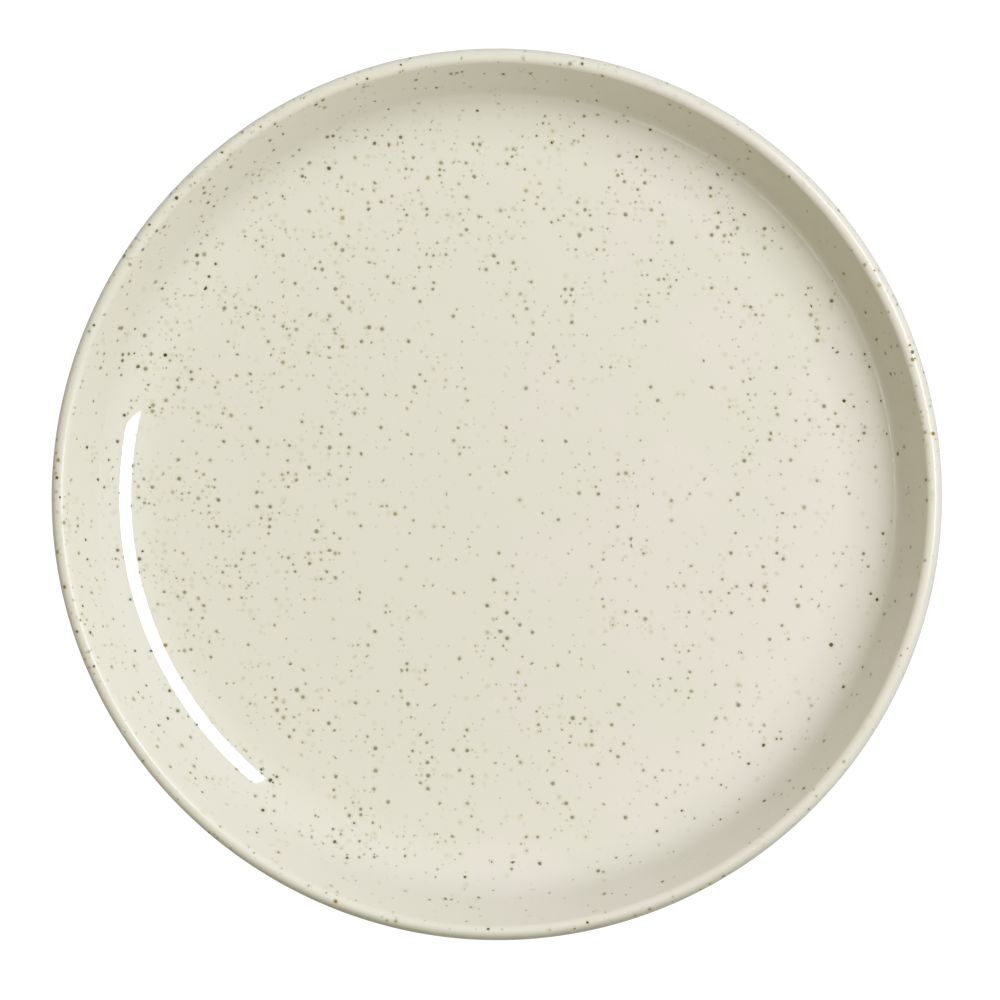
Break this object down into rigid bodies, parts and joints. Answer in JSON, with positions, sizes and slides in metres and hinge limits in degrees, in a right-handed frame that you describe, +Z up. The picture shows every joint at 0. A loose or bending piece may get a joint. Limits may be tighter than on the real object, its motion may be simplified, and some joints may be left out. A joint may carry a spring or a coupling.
{
  "type": "coupe dinner plate",
  "caption": "Round coupe dinner plate with a wide flat well, a steep curved wall, a thick rounded rim and a low foot ring, in speckled cream stoneware.",
  "frame": {"origin": "centre of the foot ring's bearing face, on the table plane", "axes": "+Z up along the axis the plate is turned about, +X to the right and +Y to the top of the picture"},
  "size_m": [0.28, 0.28, 0.03],
  "materials": {
    "stoneware": "matte",
    "speckled_glaze": "gloss"
  },
  "bodies": {
    "root": {"clay_body": "stoneware", "glaze_coat": "speckled_glaze", "base_glaze": "speckled_glaze"}
  },
  "joints": []
}
